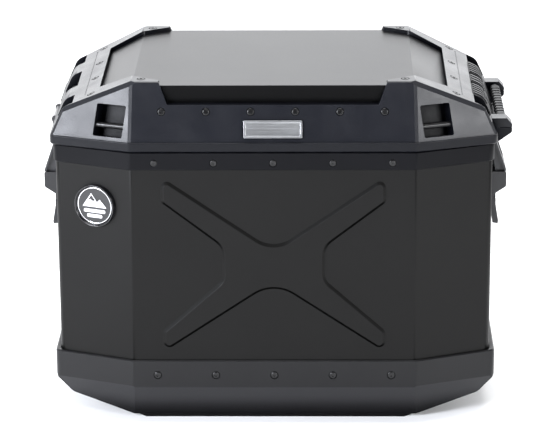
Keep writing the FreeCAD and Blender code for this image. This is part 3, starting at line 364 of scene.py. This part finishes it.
def soften(node, width):
    """Round a part's hard edges by width, with the flat faces joined first."""
    weld = node.modifiers.new("weld", "WELD")
    weld.merge_threshold = WELD_REACH
    flat = node.modifiers.new("flat", "DECIMATE")
    flat.decimate_type = "DISSOLVE"
    flat.angle_limit = math.radians(FLAT_ANGLE)
    bevel = node.modifiers.new("edge", "BEVEL")
    bevel.width = width
    bevel.segments = EDGE_SEGMENTS
    bevel.limit_method = "ANGLE"
    bevel.angle_limit = math.radians(EDGE_ANGLE)
    bevel.use_clamp_overlap = True
    bevel.harden_normals = True


for width, names in EDGE_WIDTHS.items():
    for name in names:
        soften(NODES[name], width)

# ---- studio ----

FLOOR_HALF = 6.0
WORLD_COLOUR = (0.97, 0.98, 1.0)
WORLD_DIM, WORLD_BRIGHT = 0.08, 3.6
WORLD_FULL = 0.92  # how far a direction points to the rear where the world is at its brightest


def softbox(name, size, place, aim, power, colour):
    """A lit rectangle, size wide and high, that points at aim."""
    light = bpy.data.lights.new(name, "AREA")
    light.shape = "RECTANGLE"
    light.size, light.size_y = size
    light.energy = power
    light.color = colour
    lamp = bpy.data.objects.new(name, light)
    bpy.context.scene.collection.objects.link(lamp)
    lamp.location = place
    lamp.rotation_euler = (Vector(aim) - Vector(place)).to_track_quat("-Z", "Y").to_euler()


def studio_floor():
    corners = [(x * FLOOR_HALF, y * FLOOR_HALF, 0) for x, y in ((-1, -1), (1, -1), (1, 1), (-1, 1))]
    mesh = bpy.data.meshes.new("floor")
    mesh.from_pydata(corners, [], [(0, 1, 2, 3)])
    floor = bpy.data.objects.new("floor", mesh)
    bpy.context.scene.collection.objects.link(floor)
    finish = Finish("floor_paper", 0.9, specular=0.1)
    finish.colour(finish.mix(finish.between(finish.noise(3.0)), (0.90, 0.90, 0.90), (0.93, 0.93, 0.93)))
    mesh.materials.append(finish.material)


def studio_world():
    """Bright behind the part and dim overhead and in front, by direction."""
    world = bpy.data.worlds.new("studio")
    bpy.context.scene.world = world
    world.use_nodes = True
    tree = world.node_tree
    background = tree.nodes["Background"]
    where = tree.nodes.new("ShaderNodeTexCoord")
    split = tree.nodes.new("ShaderNodeSeparateXYZ")
    tree.links.new(where.outputs["Generated"], split.inputs["Vector"])
    rear = tree.nodes.new("ShaderNodeMapRange")
    rear.interpolation_type = "SMOOTHSTEP"
    for socket, number in zip(RANGE_SOCKETS, (0.0, WORLD_FULL, WORLD_DIM, WORLD_BRIGHT)):
        rear.inputs[socket].default_value = number
    tree.links.new(split.outputs["Y"], rear.inputs["Value"])
    tree.links.new(rear.outputs["Result"], background.inputs["Strength"])
    background.inputs["Color"].default_value = (*WORLD_COLOUR, 1.0)


studio_floor()
studio_world()
softbox("softbox_left", size=(0.8, 0.7), place=(-1.56, -1.46, 0.92), aim=(-0.16, -0.12, 0.32),
        power=96.0, colour=(0.90, 0.93, 1.0))
softbox("softbox_right", size=(0.7, 0.6), place=(1.50, -1.55, 0.84), aim=(0.16, -0.12, 0.32),
        power=32.0, colour=(0.97, 0.98, 1.0))
softbox("softbox_top", size=(1.6, 1.6), place=(0.0, 0.2, 2.2), aim=(0.0, 0.0, 0.0),
        power=60.0, colour=(1.0, 1.0, 1.0))

# ---- camera ----

CAMERA_PLACE = (0.0540, -2.8631, 1.1167)
CAMERA_PITCH = 18.04  # below the horizon
CAMERA_YAW = 1.14
CAMERA_ROLL = -0.39
LENS_MM = 187.7
SENSOR_MM = 36.0

lens = bpy.data.cameras.new("camera")
lens.lens = LENS_MM
lens.sensor_width = SENSOR_MM
camera = bpy.data.objects.new("camera", lens)
bpy.context.scene.collection.objects.link(camera)
camera.location = CAMERA_PLACE
level = Euler((math.radians(90.0 - CAMERA_PITCH), 0.0, math.radians(CAMERA_YAW))).to_matrix()
camera.rotation_euler = (level @ Matrix.Rotation(math.radians(CAMERA_ROLL), 3, "Z")).to_euler()
bpy.context.scene.camera = camera
bpy.context.scene.view_settings.view_transform = "Standard"
